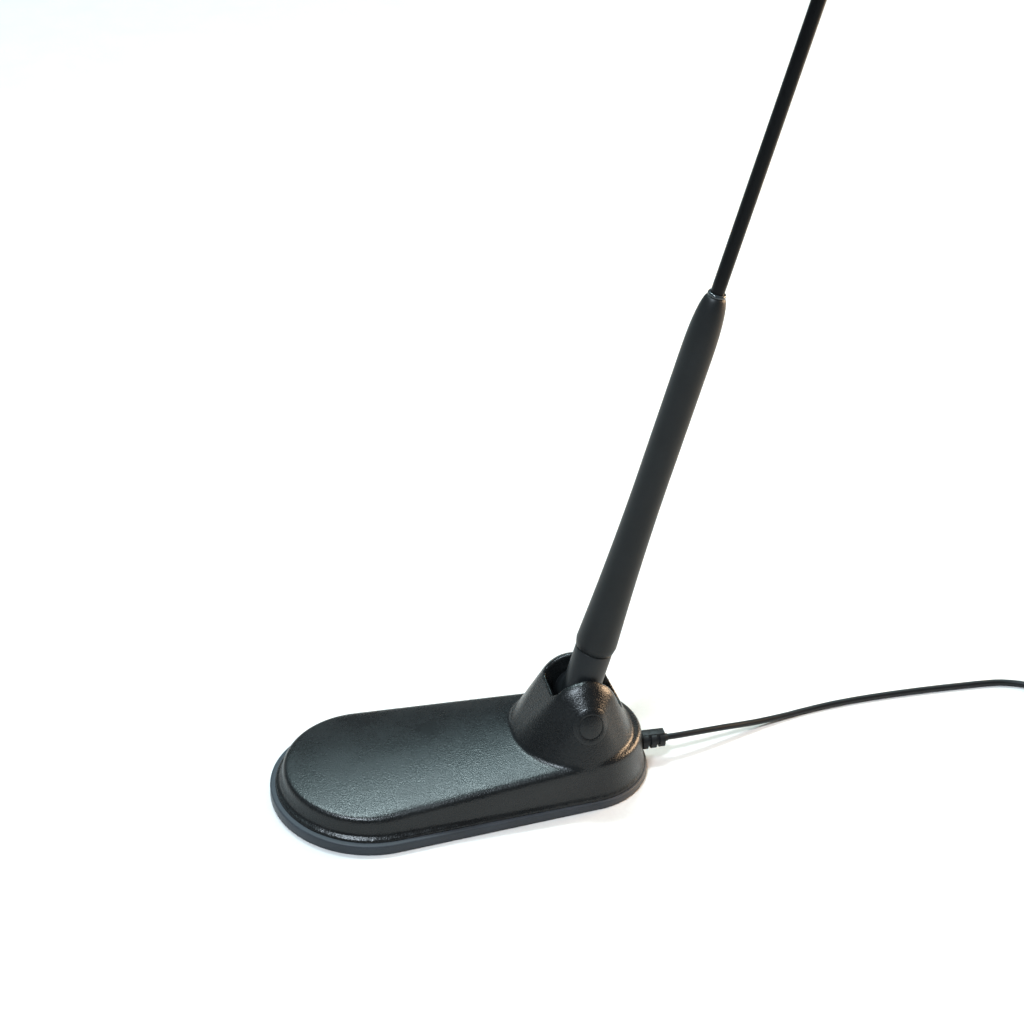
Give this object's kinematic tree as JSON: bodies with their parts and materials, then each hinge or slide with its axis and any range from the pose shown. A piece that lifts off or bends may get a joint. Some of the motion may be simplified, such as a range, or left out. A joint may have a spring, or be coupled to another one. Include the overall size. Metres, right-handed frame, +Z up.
{
  "type": "vehicle roof antenna",
  "caption": "Vehicle-roof cellular antenna: low magnetic foot, folding mast with a sleeved whip, and a thin coaxial lead with a connector.",
  "frame": {"origin": "middle of the foot's underside, on the surface it stands on, halfway between the centres of its two end arcs", "axes": "+Z up, +X from the wide nose to the tail where the mast hinge and the lead are, +Y across the foot along the hinge axis"},
  "size_m": [0.2806, 0.0803, 0.3017],
  "materials": {
    "housing_plastic": "fine-textured moulded plastic",
    "boot_rubber": "matt moulded rubber",
    "tray_plastic": "moulded plastic",
    "magnet_nickel": "nickel-plated magnet",
    "iron_zinc": "zinc-plated steel",
    "screw_steel": "plated steel",
    "board_laminate": "coated glass laminate",
    "tin_can": "tinned steel",
    "copper_wire": "enamelled copper wire",
    "contact_brass": "bare brass",
    "relief_pvc": "soft moulded PVC",
    "lead_pvc": "smooth PVC jacket",
    "wire_pvc": "insulated wire",
    "knuckle_plastic": "satin moulded plastic",
    "sleeve_rubber": "satin moulded elastomer",
    "former_laminate": "glass-fibre rod",
    "whip_steel": "drawn steel",
    "whip_pvc": "semi-gloss PVC jacket",
    "collar_plastic": "smooth plastic ring",
    "tip_rubber": "moulded rubber cap",
    "connector_gold": "gold-plated brass",
    "insulator_ptfe": "white fluoropolymer"
  },
  "bodies": {
    "foot": {"rubber_boot": "boot_rubber", "bottom_tray": "tray_plastic", "front_magnet": "magnet_nickel", "middle_magnet": "magnet_nickel", "rear_magnet": "magnet_nickel", "back_iron": "iron_zinc", "tray_screws": "screw_steel", "upper_housing": "housing_plastic", "matching_board": "board_laminate", "board_spacers": "contact_brass", "board_screws": "screw_steel", "board_shield": "tin_can", "board_inductors": "copper_wire", "lead_clamp": "tin_can", "inner_lead": "lead_pvc", "feed_wire": "wire_pvc", "strain_relief": "relief_pvc", "hinge_screw": "screw_steel", "hinge_nut": "screw_steel", "near_hinge_cap": "housing_plastic", "far_hinge_cap": "housing_plastic", "friction_washer": "screw_steel", "contact_lug": "contact_brass", "coax_lead": "lead_pvc", "coax_coil": "lead_pvc", "coil_tie": "lead_pvc", "lead_tail": "lead_pvc", "connector_boot": "relief_pvc", "connector_body": "connector_gold", "connector_insulator": "insulator_ptfe", "centre_pin": "connector_gold"},
    "mast_foot": {"knuckle": "knuckle_plastic", "hinge_bush": "contact_brass", "mast_stud": "contact_brass"},
    "mast": {"mast_sleeve": "sleeve_rubber", "mast_ferrule": "contact_brass", "coil_former": "former_laminate", "phasing_coil": "copper_wire", "whip_core": "whip_steel", "whip_jacket": "whip_pvc", "whip_collar": "collar_plastic", "tip_cap": "tip_rubber"},
    "nut": {"coupling_nut": "connector_gold"}
  },
  "joints": [
    {"name": "mast_tilt", "type": "hinge", "parent": "foot", "child": "mast_foot", "pos_m": [0.0287, 0, 0.0246], "axis": [0, 1, 0], "range_deg": [-38, 70]},
    {"name": "mast_turn", "type": "hinge", "parent": "mast_foot", "child": "mast", "pos_m": [0.0287, 0, 0.0246], "axis": [0.2351, 0, 0.972], "continuous": true},
    {"name": "nut_spin", "type": "hinge", "parent": "foot", "child": "nut", "pos_m": [0.22, 0.0457, 0.004], "axis": [0, 1, 0], "continuous": true}
  ]
}
